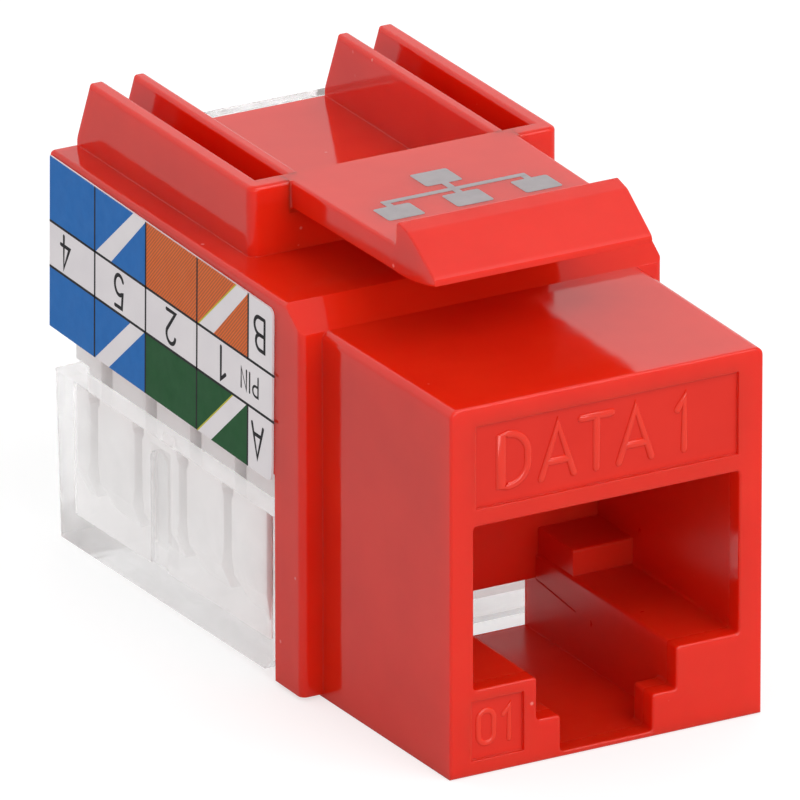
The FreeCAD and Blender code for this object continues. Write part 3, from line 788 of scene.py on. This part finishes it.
# ------------------------------------------------------------------ board details
def board_details():
    t = Builder()
    ys = [17.2 + 3.81 * k for k in range(4)]
    blade = [(-5.1, y) for y in ys] + [(5.1, y) for y in ys]
    leads = [((i - 3.5) * 1.02, 14.2 if i % 2 == 0 else 15.6) for i in range(8)]
    order = [1, 0, 4, 2, 3, 5, 6, 7]
    for i in range(8):
        x, y = leads[i]
        tx, ty = blade[order[i]] if i < 4 else blade[order[i]]
        midx = x + (tx - x) * 0.25
        pts = [P(x, y, 14.0), P(x, y + 0.6 + 0.15 * i, 14.0), P(midx, ty - 0.5, 14.0), P(tx, ty, 14.0)]
        t.tube(pts, (0, 0, 1), 0.14 * MM, flat=0.25, seg=8)
    t.make("board_tracks", BOARD, "jack", "board_green", smooth=True)
    s = Builder()
    for (x, y, r) in [(a, c, 0.75) for a, c in blade] + [(a, c, 0.42) for a, c in leads]:
        prev = None
        rings = []
        for k in range(6):
            h = k / 5.0
            rr = r * (1 - h) ** 0.6 + 0.18 * h
            rings.append([P(x + rr * math.cos(2 * math.pi * j / 14), y + rr * math.sin(2 * math.pi * j / 14),
                            13.98 + 0.5 * r * h) for j in range(14)])
        b0 = len(s.v)
        for ring in rings:
            s.v += ring
        for k in range(5):
            for j in range(14):
                s.f.append((b0 + k * 14 + j, b0 + k * 14 + (j + 1) % 14, b0 + (k + 1) * 14 + (j + 1) % 14,
                            b0 + (k + 1) * 14 + j))
        s.f.append(tuple(b0 + j for j in reversed(range(14))))
        s.f.append(tuple(b0 + 70 + j for j in range(14)))
    s.make("board_solder_joints", SOLDER, "jack", "blade_tin", smooth=True)


board_details()

# ------------------------------------------------------------------ floor, light, camera
floor_mat = Mat("floor_light_table")
floor_mat.to(floor_mat.mix(floor_mat.map(floor_mat.noise(30, 3).outputs["Fac"], 0, 1), srgb(186, 186, 186),
                           srgb(183, 183, 183)), "Base Color")
floor_mat.set(Roughness=0.8, Specular_IOR_Level=0.1, Emission_Color=(1, 1, 1, 1))
floor_path = floor_mat.nt.nodes.new("ShaderNodeLightPath")
floor_sum = floor_mat.nt.nodes.new("ShaderNodeMath")
floor_sum.operation = "MULTIPLY_ADD"
floor_mat.link(floor_mat.map(floor_path.outputs["Transmission Depth"], 0, 1), floor_sum.inputs[0])
floor_sum.inputs[1].default_value = 0.42
floor_mat.link(floor_mat.map(floor_path.outputs["Is Camera Ray"], 0.16, 0.62), floor_sum.inputs[2])
floor_mat.to(floor_sum.outputs[0], "Emission Strength")
fl = bpy.data.meshes.new("studio_floor")
S = 3.0
fl.from_pydata([(-S, -S, -0.00002), (S, -S, -0.00002), (S, S, -0.00002), (-S, S, -0.00002)], [], [(0, 1, 2, 3)])
flo = bpy.data.objects.new("studio_floor", fl)
scene.collection.objects.link(flo)
fl.materials.append(floor_mat.m)

world = bpy.data.worlds.new("studio_world")
world.use_nodes = True
wt = world.node_tree
wt.nodes["Background"].inputs["Color"].default_value = (1, 1, 1, 1)
# the backdrop behind the object is brighter than the room in front of it
w_dir = wt.nodes.new("ShaderNodeTexCoord")
w_sep = wt.nodes.new("ShaderNodeSeparateXYZ")
w_map = wt.nodes.new("ShaderNodeMapRange")
w_map.inputs["From Min"].default_value = -0.1
w_map.inputs["From Max"].default_value = 0.7
w_map.inputs["To Min"].default_value = 0.66
w_map.inputs["To Max"].default_value = 0.95
wt.links.new(w_dir.outputs["Generated"], w_sep.inputs["Vector"])
wt.links.new(w_sep.outputs["Y"], w_map.inputs["Value"])
wt.links.new(w_map.outputs["Result"], wt.nodes["Background"].inputs["Strength"])
scene.world = world


def area(name, direction, dist, size, radiance, target=(0, 0, 0.010)):
    """A soft box that far from the target along a direction, with its own brightness."""
    li = bpy.data.lights.new(name, "AREA")
    li.shape = "RECTANGLE"
    li.size, li.size_y = size
    li.energy = math.pi * size[0] * size[1] * radiance
    o = bpy.data.objects.new(name, li)
    scene.collection.objects.link(o)
    d = Vector(direction).normalized()
    o.location = Vector(target) + d * dist
    o.rotation_euler = (-d).to_track_quat("-Z", "Y").to_euler()
    return o


area("softbox_front_top", (0.20, -0.65, 0.74), 0.50, (0.34, 0.34), 2.6)
area("softbox_front_low", (0.08, -0.98, 0.12), 0.60, (0.34, 0.16), 5.0)

# camera: 21.8 degrees above the horizon and 29.3 degrees to the left of the front
cam = bpy.data.cameras.new("view_camera")
co = bpy.data.objects.new("view_camera", cam)
scene.collection.objects.link(co)
fw = Vector((0.4548196, 0.80969963, -0.37084449))
rt = Vector((0.87163913, -0.49014678, -0.00116791))
up = Vector((0.18271389, 0.32271138, 0.92869424))
m = Matrix((rt, up, -fw)).transposed().to_4x4()
m.translation = Vector((-359.24844612 * MM, (-622.36293014 + SY) * MM, 302.05736945 * MM))
co.matrix_world = m
cam.sensor_width = 36.0
cam.lens = 19269.147 / 800 * 36
cam.shift_x = (400 - 398.1735) / 800
cam.clip_start = 0.05
cam.clip_end = 20
scene.camera = co
scene.view_settings.view_transform = "Standard"
scene.view_settings.look = "None"
